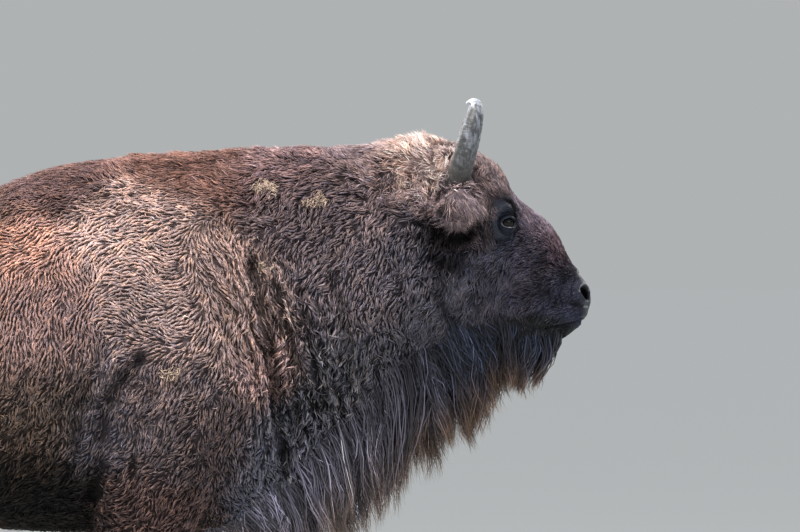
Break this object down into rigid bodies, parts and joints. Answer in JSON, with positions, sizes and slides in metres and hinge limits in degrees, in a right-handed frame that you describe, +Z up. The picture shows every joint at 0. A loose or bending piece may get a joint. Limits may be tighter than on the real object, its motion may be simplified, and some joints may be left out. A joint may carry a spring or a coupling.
{
  "type": "european bison",
  "caption": "Life-size European bison cow standing still with its head raised, woolly coat, long beard and throat mane, and short horns that curve up and in.",
  "frame": {"origin": "on the ground, midway between muzzle and tail and midway across the body", "axes": "+X towards the muzzle, +Y towards the animal's left, +Z up"},
  "size_m": [2.4634, 0.6522, 1.7077],
  "materials": {
    "coat": "matte woolly fur",
    "face_coat": "matte short fur",
    "mane": "long straight hair",
    "horn": "worn horn, faintly ringed",
    "hoof": "worn dark horn",
    "eye": "wet and glossy"
  },
  "bodies": {
    "root": {"barrel": "coat", "beard": "mane", "head": "face_coat", "hindquarters": "coat", "left_ear": "face_coat", "left_eye": "eye", "left_fore_claw_inner": "hoof", "left_fore_claw_outer": "hoof", "left_fore_dewclaw_inner": "hoof", "left_fore_dewclaw_outer": "hoof", "left_fore_leg": "coat", "left_hind_claw_inner": "hoof", "left_hind_claw_outer": "hoof", "left_hind_dewclaw_inner": "hoof", "left_hind_dewclaw_outer": "hoof", "left_hind_leg": "coat", "left_horn": "horn", "neck": "coat", "right_ear": "face_coat", "right_eye": "eye", "right_fore_claw_inner": "hoof", "right_fore_claw_outer": "hoof", "right_fore_dewclaw_inner": "hoof", "right_fore_dewclaw_outer": "hoof", "right_fore_leg": "coat", "right_hind_claw_inner": "hoof", "right_hind_claw_outer": "hoof", "right_hind_dewclaw_inner": "hoof", "right_hind_dewclaw_outer": "hoof", "right_hind_leg": "coat", "right_horn": "horn", "shoulders": "coat", "tail": "coat", "tail_tuft": "mane", "throat_mane": "mane"}
  },
  "joints": []
}
